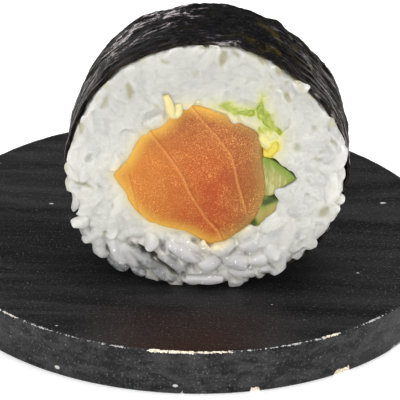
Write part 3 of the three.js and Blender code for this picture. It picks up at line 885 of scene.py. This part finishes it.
def joined(meshes):
    """One mesh of several."""
    whole = bmesh.new()
    for mesh in meshes:
        whole.from_mesh(mesh)
    return as_mesh(whole, bpy.data.meshes.new("joined"), turn=False)


def whole_grains(template):
    """The whole grains in front, each the template sized, leant and turned, with some noise in its shape."""
    shape = points_of(template)
    shape = (shape - shape.mean(axis=0)) / np.ptp(shape, axis=0)
    meshes = []
    for i, (across, up, out, turn, lean, length, width, _) in enumerate(WHOLE_GRAINS):
        own = np.array([steady_noise(Vector(p) * 2.0 + Vector((i, 0.4, 0.6))) for p in shape]) * 0.13
        x, y, z = ((shape + own) * np.array([length, width * 0.84, width]) * MM).T
        c, s = math.cos(math.radians(lean)), math.sin(math.radians(lean))
        x, y = x * c - y * s, x * s + y * c
        c, s = math.cos(math.radians(turn)), math.sin(math.radians(turn))
        copy = template.copy()
        put_points(copy, np.stack([
            ROLL_AXIS[0] + across * MM + x * c - z * s,
            ROLL_FRONT - out * MM - y.min() + y,
            np.maximum(ROLL_AXIS[1] + up * MM + x * s + z * c, BOARD_TOP + 0.15 * MM)], axis=1))
        meshes.append(copy)
    return joined(meshes)


def grain_frames(mesh, template):
    """Each grain's middle, and the turn and stretch that bring a point into its own round shape."""
    shape = points_of(template)
    copies = points_of(mesh).reshape(-1, len(shape), 3)
    middles = copies.mean(axis=1)
    own = shape - shape.mean(axis=0)
    stretch = np.linalg.pinv(own) @ (copies - middles[:, None])
    return middles, np.linalg.inv(stretch) / (np.ptp(shape, axis=0) / 2)


def held_under(limit, value, soft):
    """The value, bent over softly where it nears the limit, over a reach of a few times soft."""
    return np.where(value > limit - 5 * soft, limit - soft * np.logaddexp(0, (limit - value) / soft), value)


CANDIDATES = 8  # the grains with the nearest middles, among which a point's own is looked for


def own_grains(at, middles, into_shape):
    """For each point, the number of the grain it is on, how far outside that grain and outside the next it is, and
    how near it comes to the grain's front or back."""
    finder = kdtree.KDTree(len(middles))
    for i, middle in enumerate(middles):
        finder.insert(middle, i)
    finder.balance()
    near = np.array([[index for _, index, _ in finder.find_n(p, CANDIDATES)] for p in at])
    own = np.einsum("vki,vkij->vkj", at[:, None] - middles[near], into_shape[near])
    gap = (np.linalg.norm(own, axis=2) - 1) * GRAIN["Thickness"] / 2
    order = np.argsort(gap, axis=1)

    def taken(values, k=0):
        return np.take_along_axis(values, order[:, k:k + 1], axis=1)[:, 0]

    return taken(near), taken(gap), taken(gap, 1), np.abs(taken(own[:, :, 1]))


def cap_at(solid, y, side):
    """Cuts away what the solid has beyond y on one side, and closes the cut."""
    bmesh.ops.triangle_fill(solid, edges=cut_at(solid, y, side, clear_outer=True), use_beauty=True)


CORE_SET = 2.2 * MM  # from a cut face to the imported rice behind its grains
GRAIN_SKIN = 0.30 * MM  # how far outside a whole grain a point may be and still move with it
GAP_DEPTH = 1.3 * MM  # how far a dark gap goes in between the whole grains
PRESS_LOW, PRESS_HIGH = -0.25 * MM, 0.34 * MM  # the levels that the knife leaves the pressed grains at


def rice_face(name, into, seed, hollows, whole=False):
    """The grains of one cut face, stuck together and pressed, with what the finish reads. into is 1 on the front
    face and -1 on the back one, and whole adds the whole grains."""
    y = face_at(into)
    random = np.random.default_rng(seed)
    template = evaluated(grid_mesh([(0, 0, 0)], []), single)
    layers = [evaluated(rice_ground(into), packing, Spacing=spacing, Depth=depth, Seed=seed + i)
              for i, (spacing, depth) in enumerate([(2.5 * MM, 0.0), (3.1 * MM, 1.5 * MM)])]
    glassy = [0.35 * random.random(len(mesh.vertices) // len(template.vertices)) ** 3 for mesh in layers]
    if whole:
        layers.append(whole_grains(template))
        glassy.append(np.array([item[-1] for item in WHOLE_GRAINS]))
    packed_count = sum(map(len, glassy)) - (len(WHOLE_GRAINS) if whole else 0)
    glassy = np.concatenate(glassy)
    loose = joined(layers)
    middles, into_shape = grain_frames(loose, template)
    stuck = fused(joined([loose, paste(into, hollows)]), VOXEL, 1)
    at = points_of(stuck)
    grain_of, first, second, facing = own_grains(at, middles, into_shape)
    is_whole = (grain_of >= packed_count) & (first < GRAIN_SKIN)
    # The whole grains are painted greyer in their middles, so that their edges look lit.
    heart = np.where(is_whole, smoothly(0.45, 0.9, facing), 0) * 0.8

    # The knife: every grain is pressed to its own level, near the face's.
    flat = across_up(at)
    low = loosened(flat) if into > 0 else np.zeros(len(at))
    dip = hollow_depth(flat, hollows)
    level = random.uniform(-0.04, 0.26, len(middles)) * MM
    tilt = random.normal(0, 0.08, (len(middles), 2))
    limit = level[grain_of] + np.sum(tilt[grain_of] * (flat - middles[grain_of][:, [0, 2]]), axis=1)
    limit = np.where(is_whole, 3 * MM, np.clip(limit, PRESS_LOW, PRESS_HIGH) + low * 1.2 * MM - dip)
    crack = cracked(flat) if whole else np.zeros(len(at))
    limit = limit * (1 - crack) - GAP_DEPTH * crack
    proud = into * (y - at[:, 1])
    at[:, 1] = y - into * held_under(limit, proud, 0.12 * MM)

    # The nori: nothing stands through it, but low in front the rice hangs out over its edge.
    angle, reach, room = within_nori(flat)
    depth = into * (at[:, 1] - y)
    edge = nori_edge(angle)
    over_edge = smoothly(0.20, -0.12, np.sin(angle)) * smoothly(0, 1, (edge - 0.25 * MM - depth) / (0.4 * MM))
    allowed = reach + room - 0.12 * MM + over_edge * 0.95 * MM
    outwards = over_edge * 0.9 * MM * smoothly(3.2 * MM, 0.3 * MM, room) * ~is_whole
    flat = flat * (1 + outwards / reach)[:, None] - ROLL_AXIS * (outwards / reach)[:, None]
    reach = reach + outwards
    allowed = np.where(is_whole & (depth < edge - 0.15 * MM), reach + 1 * MM, allowed)
    flat = ROLL_AXIS + (flat - ROLL_AXIS) * (held_under(allowed, reach, 0.10 * MM) / reach)[:, None]
    at[:, [0, 2]] = flat
    lift = np.where(is_whole, 0, low * smoothly(-0.5 * MM, 0.3 * MM, proud)) * 1.3 * MM
    at[:, 2] = np.maximum(at[:, 2], BOARD_TOP + 0.1 * MM + lift)
    apart = is_whole | (low > 0.5)
    at = relaxed(stuck, at, np.where(apart, 0.25, 0.5), 3)
    at = relaxed(stuck, at, np.where(apart, 0.0, 0.5), 6)
    at[:, 1] += into * lumps_over(at, 480, 0.7, 2.1, 3) * 0.05 * MM
    put_points(stuck, at)

    by_nori = smoothly(1.6 * MM, 0.3 * MM, room) * smoothly(-0.5, 0.0, np.sin(angle))
    patchy = uneven_over(flat, 420, 8.0)
    seams = smoothly(0.25 * MM, 0, second - first) * (0.1 + 0.9 * low)
    # crevice is darker beige in the hollows, along the grain seams and by the nori: the starch's tint, and painted
    # shade.
    crevice = smoothstep(0.08 * MM, 0.45 * MM, dip) + 0.36 * seams
    crevice = np.maximum(crevice, by_nori * smoothstep(0.0, 0.3, patchy) * 0.8).clip(0, 1)
    clear = np.clip(glassy[grain_of] * np.where(is_whole, 1, 0.3 + 0.7 * low), 0, 1)
    mixed = np.stack([random.random(len(middles))[grain_of], clear, crevice, heart], axis=1)
    tint, clear, crevice, heart = relaxed(stuck, mixed, np.where(apart, 0.1, 0.5), 5).T
    # gap is painted shade: dark where the face lies deep at the foot and in the gaps between the whole grains.
    add_values(stuck, tint=tint, clear=clear, crevice=crevice, foot=np.maximum(low, 0.6 * by_nori), heart=heart,
               oil=np.exp(-np.abs(clear_of("salmon", flat)) / (0.8 * MM)) * 0.6,
               green=np.where(is_whole, 0.5, 0.95) * stained(flat),
               gap=np.maximum(low * smoothly(-0.9 * MM, -1.8 * MM, proud), crack))

    trimmed = bmesh.new()
    trimmed.from_mesh(stuck)
    cap_at(trimmed, y + into * CORE_SET * 1.2, into)
    return make_piece(name, as_mesh(trimmed, stuck), cooked_rice, "rice", "rice")


grain_tree = grain_of_rice()
single, _, result = group("One grain", [("Geometry", "Geometry", None)])
one = node(single, "GeometryNodeGroup", GRAIN, node_tree=grain_tree)
single.links.new(one.outputs[0], result.inputs[0])
packing = packed_rice(grain_tree)
rice_face("rice_front", 1, 3, HOLLOWS, whole=True)
dice = np.random.default_rng(12)
BACK_HOLLOWS = [(radius * math.cos(turn), radius * math.sin(turn), dice.uniform(-90, 90), dice.uniform(1.2, 4),
                 dice.uniform(0.6, 1.5), dice.uniform(0.5, 1.1))
                for radius, turn in zip(dice.uniform(16, 24, 26), np.linspace(0, 2 * math.pi, 26))]
rice_face("rice_back", -1, 40, BACK_HOLLOWS)

# Between the faces the rice is one packed mass.
core = merged("rice")
cap_at(core, ROLL_FRONT + CORE_SET, -1)
cap_at(core, ROLL_BACK - CORE_SET, 1)
core_mesh = as_mesh(core, bpy.data.meshes.new("core"))
add_values(core_mesh, tint=0.5, clear=0.1, crevice=0.7, oil=0.2, green=0, gap=0, foot=0, heart=0)
make_piece("rice_core", core_mesh, cooked_rice, "rice", "rice", smooth=False)

# ---------------------------------------------------------------------------------------------- the salmon
# A thick strip of raw salmon, cut from the fillet and laid on the rice before the sheet was rolled up. The knife
# that sliced the roll shows its flakes, with a pale seam of fat between each and the next.
SALMON_SEAMS = [
    [(-10.2, 7.0), (-9.7, 6.1), (-7.0, 2.7), (-5.4, 0.5), (-3.7, -2.1), (-2.6, -5.0), (-1.2, -7.2), (0.4, -9.8),
     (2.7, -12.7), (3.5, -14.6)],
    [(-4.0, 13.2), (-2.0, 10.7), (-0.1, 8.5), (1.8, 6.3), (3.4, 4.1), (4.5, 2.7), (5.2, 0.1), (5.8, -2.5),
     (6.6, -5.1), (7.6, -8.4)],
    [(-13.9, -1.9), (-13.2, -4.5), (-12.6, -7.2), (-11.9, -10.1)],
]
SEAM_WIDTH, FAT_WIDTH = 0.12 * MM, 0.22 * MM
FAT_SHIFT = np.array([0.34, 0.14]) * MM  # from the middle of a seam to that of the pale fat beside it


def fine_bar(node_name, voxel):
    """A filling of the frame with its faces made fine and its edges softened."""
    return fused(as_mesh(merged(node_name), bpy.data.meshes.new(node_name), turn=False), voxel, 6)


END_DEPTH = 0.9 * MM  # the points this near to a cut face belong to it


def push_ends(at, push):
    """Moves the points on each cut face outwards by their push."""
    front, back = at[:, 1] < ROLL_FRONT + END_DEPTH, at[:, 1] > ROLL_BACK - END_DEPTH
    at[:, 1] += np.where(front, -push, np.where(back, push, 0))


salmon_mesh = fine_bar("salmon", 0.2 * MM)
at = points_of(salmon_mesh)
flat = across_up(at)
seam, beside = np.zeros(len(at)), np.zeros(len(at))
for i, line in enumerate(SALMON_SEAMS):
    route = ROLL_AXIS + np.array(line) * MM
    strength = 0.5 if i == 2 else 1.0  # the short seam on the left is faint
    away = distance_to(route, flat, closed=False)
    shifted = distance_to(route - FAT_SHIFT, flat, closed=False)
    seam = np.maximum(seam, strength * np.exp(-((away / SEAM_WIDTH) ** 2)))
    beside = np.maximum(beside, strength * np.exp(-((shifted / FAT_WIDTH) ** 2)))
waves = lumps_over(at, 200, 0.8, 2.0, 3)
edge = distance_to(outlines["salmon"], flat)
dome = 0.10 + 0.14 * (1 - np.exp(-((edge / (2.2 * MM)) ** 2)))
push_ends(at, (dome + 0.10 * waves - 0.03 * seam) * MM)
middle = outlines["salmon"].mean(axis=0)
widen = 1 + 0.32 * MM / np.hypot(*(flat - middle).T).clip(4 * MM)
at[:, [0, 2]] = middle + (flat - middle) * widen[:, None]
put_points(salmon_mesh, at)
add_values(salmon_mesh, seam=seam, fat=beside, rim=smoothstep(3.2 * MM, 0.2 * MM, edge))

raw_salmon, tree, shader = finish(
    "raw_salmon", Roughness=0.36, Specular_IOR_Level=0.3, Subsurface_Weight=0.3,
    Subsurface_Radius=(1.0, 0.35, 0.12), Subsurface_Scale=1.2 * MM, Coat_Weight=0.15, Coat_Roughness=0.06)
place = placed(tree, shift=FROM_AXIS)
x, y, z = axes(place)
clouds = grainy(place, 130, 4.0, 0.55, 0.5)
fibres = grainy(place, 2000, 3.0, 0.75, 3.0)
# Pale fibre flecks in the flesh, which also serve as painted glints of the wet surface.
flecks_and_glints = times(ramp(fibres, 0.52, 0.62, 0.0, 0.85), ramp(clouds, 0.35, 0.62, 0.35, 1.0))
flesh = layered(
    blend(ramp(clouds, 0.35, 0.65), rgb(166, 62, 10), rgb(172, 80, 16)),
    (ramp(x, 2 * MM, -15 * MM), rgb(192, 114, 32)),
    (ramp(z, 0.0, 11 * MM, 0.0, 0.8), rgb(148, 88, 34)),
    (ramp(x, 1 * MM, 9 * MM, 0.0, 0.8), rgb(140, 84, 30)),
    (times(attribute(tree, "rim"), 0.9), blend(ramp(x, 0.0, 7 * MM), rgb(216, 170, 62), rgb(150, 116, 58))),
    (flecks_and_glints, rgb(240, 170, 96)),
    (times(attribute(tree, "fat"), 0.40), rgb(234, 164, 88)),
    (times(attribute(tree, "seam"), 0.6), rgb(150, 70, 18)))
feed(shader, Base_Color=flesh)
bumps(shader, plus(fibres, grainy(place, 500, 3.0)), 0.12 * MM)
bumps(shader, grainy(place, 2900, 2.0, 0.6, 1.5), 0.8 * MM, "Coat_Normal")
make_piece("salmon_strip", salmon_mesh, raw_salmon, "salmon", "salmon")

# ------------------------------------------------------------------------------------------ the salmon's film
# The thin skin of fat that runs along the top of the strip, as it was on the fillet. The knife pulled its left end
# loose, and it curled up there between the fish and the rice.
FILM = [(-5.8, 12.7), (-4.6, 13.2), (-3.0, 13.4), (-1.4, 13.3), (0.1, 12.7), (1.6, 11.9), (3.2, 11.3), (4.8, 10.9)]
CURL = [(-7.9, 14.4), (-7.4, 13.4), (-7.0, 12.4), (-6.8, 11.4), (-6.2, 10.5), (-5.5, 10.8), (-5.2, 11.8),
        (-5.5, 12.8)]


def bead(name, route, radius, out):
    """A soft round cord along a route on the face, standing out of it."""
    curve = bpy.data.curves.new(name, "CURVE")
    curve.dimensions, curve.bevel_depth, curve.bevel_resolution, curve.use_fill_caps = "3D", radius, 4, True
    line = curve.splines.new("NURBS")
    line.points.add(len(route) - 1)
    for i, (across, up) in enumerate(route):
        x, z = ROLL_AXIS + np.array([across, up]) * MM
        line.points[i].co = (x, ROLL_FRONT - out, z, 1)
        line.points[i].radius = 0.45 + 0.55 * math.sin(math.pi * (i + 0.5) / len(route))
    line.use_endpoint_u, line.order_u, line.resolution_u = True, 4, 8
    return make_piece(name, shown(in_scene(name, curve)), pale_film, "salmon")


pale_film, tree, shader = finish(
    "pale_film", Roughness=0.3, Specular_IOR_Level=0.4, Subsurface_Weight=0.4,
    Subsurface_Radius=(1.0, 0.8, 0.3), Subsurface_Scale=0.8 * MM, Coat_Weight=0.2, Coat_Roughness=0.1)
wispy = grainy(placed(tree), 900, 3.0, 0.6)
feed(shader, Base_Color=blend(wispy, rgb(200, 184, 112), rgb(216, 208, 168)))
bumps(shader, wispy, 0.1 * MM)
bead("film_edge", FILM, 0.50 * MM, -0.34 * MM)
bead("film_curl", CURL, 1.05 * MM, 0.02 * MM)

# -------------------------------------------------------------------------------------------- the cucumber
# Two strips of one cucumber, cut lengthways and rolled in beside the salmon: pale wet flesh, with the dark green
# skin left on along one side.


def cucumber(name, node_name, skin_faces, skin_spots=None):
    """A strip of cucumber, its skin on the side that faces skin_faces, or only at the spots, as ovals."""
    mesh = fine_bar(node_name, 0.22 * MM)
    at = points_of(mesh)
    flat = across_up(at)
    outline = outlines[node_name]
    ends = np.roll(outline, -1, axis=0)
    clockwise = np.cross(outline, ends).sum() < 0
    along = ends - outline
    outward = np.stack([along[:, 1], -along[:, 0]], axis=1) * (-1 if clockwise else 1)
    outward /= np.linalg.norm(outward, axis=1)[:, None]
    peel = [i for i, way in enumerate(outward) if way @ np.array(skin_faces) > 0.55]
    away = np.full(len(at), np.inf)
    for i in peel:
        away = np.minimum(away, distance_to(np.array([outline[i], ends[i]]), flat, closed=False))
    skin, under = smoothly(0.42 * MM, 0.18 * MM, away), smoothly(2.6 * MM, 0.6 * MM, away)
    if skin_spots:
        uneven = ruffled(flat)
        skin = 0.85 * np.max([smoothly(1.35, 0.6, oval(uneven, *spot)) for spot in skin_spots], axis=0)
        under = np.max([smoothly(2.0, 1.0, oval(uneven, *spot)) for spot in skin_spots], axis=0)
    push_ends(at, lumps_over(at, 300, 0.8, 2.0, 3) * 0.10 * MM)
    middle = outline.mean(axis=0)
    out = (flat - middle) * (0.5 * MM / np.hypot(*(flat - middle).T).clip(1 * MM))[:, None]
    at[:, [0, 2]] += out
    put_points(mesh, at)
    add_values(mesh, skin=skin, under=under, soaked=0.7 if skin_spots else 0.0)
    return make_piece(name, mesh, cut_cucumber, "cucumber", node_name)


cut_cucumber, tree, shader = finish(
    "cut_cucumber", Roughness=0.3, Specular_IOR_Level=0.25, Subsurface_Weight=0.3, Subsurface_Radius=(0.8, 1.0, 0.4),
    Subsurface_Scale=1.2 * MM, Coat_Weight=0.12, Coat_Roughness=0.1)
place = placed(tree)
wet = grainy(place, 420, 4.0, 0.6)
bands = grainy(placed(tree, (1.0, 1.0, 0.3)), 520, 2.0)
lines = grainy(placed(tree, (1.0, 1.0, 0.25)), 1500, 2.0)
flesh = layered(
    blend(wet, rgb(148, 142, 72), rgb(174, 168, 110)),
    (ramp(bands, 0.45, 0.58, 0.0, 0.7), rgb(136, 138, 60)),
    (ramp(lines, 0.52, 0.62, 0.0, 0.6), rgb(194, 190, 138)),
    (attribute(tree, "soaked"), rgb(156, 136, 70)),
    (times(attribute(tree, "under"), 0.8), rgb(108, 136, 34)),
    (attribute(tree, "skin"), rgb(32, 52, 12)))
feed(shader, Base_Color=flesh)
bumps(shader, wet, 0.12 * MM)
cucumber("cucumber_strip", "cucumber_wedge", (0.5, 0.85))
cucumber("cucumber_end", "cucumber_sliver", (0.9, 0.3), [(11.8, -6.8, 30, 2.6, 1.7), (9.3, -10.4, -65, 2.4, 1.3)])

# --------------------------------------------------------------------------------------------- the avocado
# Ripe avocado, so soft that the knife smears it between the grains. It is yellow inside and green next to its
# skin, which is the upper side here.
avocado_mesh = fine_bar("avocado", 0.25 * MM)
at = points_of(avocado_mesh)
lumps = lumps_over(at, 260, 0.7, 2.0, 4)
shows = smoothly(1.35, 0.45, beside_avocado(across_up(at)))
push_ends(at, ((0.25 * lumps + 0.55) * shows - 0.5 * (1 - shows)) * MM)
put_points(avocado_mesh, at)
ripe_avocado, tree, shader = finish("ripe_avocado", Roughness=0.4)
place = placed(tree, shift=FROM_AXIS)
streaks = grainy(place, 330, 4.0, 0.6, 1.2)
high = ramp(axes(place)[2], 4 * MM, 9 * MM)
flesh = layered(
    blend(high, rgb(204, 186, 66), rgb(164, 172, 70)),
    (times(ramp(streaks, 0.34, 0.60), high), rgb(120, 138, 32)),
    (ramp(streaks, 0.56, 0.66, 0.0, 0.5), rgb(196, 186, 60)))
feed(shader, Base_Color=flesh)
bumps(shader, streaks, 0.2 * MM)
make_piece("avocado_smear", avocado_mesh, ripe_avocado, "avocado", "avocado")

# ---------------------------------------------------------------------------------------------- the studio
# A plain pale floor under soft light: large lamps in front and overhead, a fainter one on the right, a low strip
# behind on the left that lifts the nori's sheen, and a small lamp in front for the glints on what is wet.
floor = in_scene("floor", grid_mesh([(-4, -4, 0), (4, -4, 0), (4, 4, 0), (-4, 4, 0)], [(0, 1, 2, 3)]))
floor_paint, tree, shader = finish("floor_paint", Base_Color=(0.96, 0.96, 0.96, 1.0), Roughness=0.9,
                                 Emission_Color=(1.0, 1.0, 1.0, 1.0), Emission_Strength=0.22)
floor.data.materials.append(floor_paint)


ROLL_CENTRE = Vector((ROLL_AXIS[0], ROLL_MIDDLE, ROLL_AXIS[1]))
LAMPS = [("front_lamp", (-0.22, -1.0, 0.34), 0.7, 0.5, 7.5), ("right_lamp", (0.75, -0.30, 0.40), 0.5, 0.5, 1.5),
         ("back_strip", (-0.33, 0.62, 0.20), 0.24, 0.08, 0.45), ("glint_lamp", (-0.20, -0.70, 0.80), 0.05, 0.05, 1.6),
         ("overhead_lamp", (0.0, 0.14, 0.90), 0.7, 0.7, 8.7)]
for name, place, width, height, power in LAMPS:
    lamp = bpy.data.lights.new(name, "AREA")
    lamp.shape = "RECTANGLE"
    lamp.size, lamp.size_y, lamp.energy = width, height, power
    made = in_scene(name, lamp)
    made.location = place
    made.rotation_euler = (ROLL_CENTRE - Vector(place)).to_track_quat("-Z", "Y").to_euler()

world = bpy.data.worlds.new("world")
world.use_nodes = True
tree = world.node_tree
height = axes(node(tree, "ShaderNodeTexCoord").outputs["Generated"])[2]
glow = blend(ramp(height, 0.0, 0.15), (0.35, 0.35, 0.35, 1), (0.10, 0.10, 0.105, 1))
tree.links.new(glow, tree.nodes["Background"].inputs[0])
bpy.context.scene.world = world

# The camera is a long lens, level but for a slight lean, a little above the roll.
CAMERA_TARGET = Vector((2.0, 0.0, 14.55)) * MM
CAMERA_DISTANCE = 490.5 * MM
CAMERA_HEIGHT = math.radians(26.37)
CAMERA_SIDE = math.radians(1.15)
CAMERA_LEAN = math.radians(1.76)
lens = bpy.data.cameras.new("camera")
lens.sensor_width, lens.lens = 36, 225
lens.clip_start, lens.clip_end = 0.05, 20
camera = in_scene("camera", lens)
back_to_camera = Vector((math.sin(CAMERA_SIDE) * math.cos(CAMERA_HEIGHT),
                         -math.cos(CAMERA_SIDE) * math.cos(CAMERA_HEIGHT), math.sin(CAMERA_HEIGHT)))
camera.location = CAMERA_TARGET + back_to_camera * CAMERA_DISTANCE
turn = back_to_camera.to_track_quat("Z", "Y").to_matrix()
camera.rotation_euler = (turn @ Matrix.Rotation(CAMERA_LEAN, 3, "Z")).to_euler()
bpy.context.scene.camera = camera
bpy.context.scene.view_settings.view_transform = "Standard"
bpy.context.scene.cycles.use_denoising = True
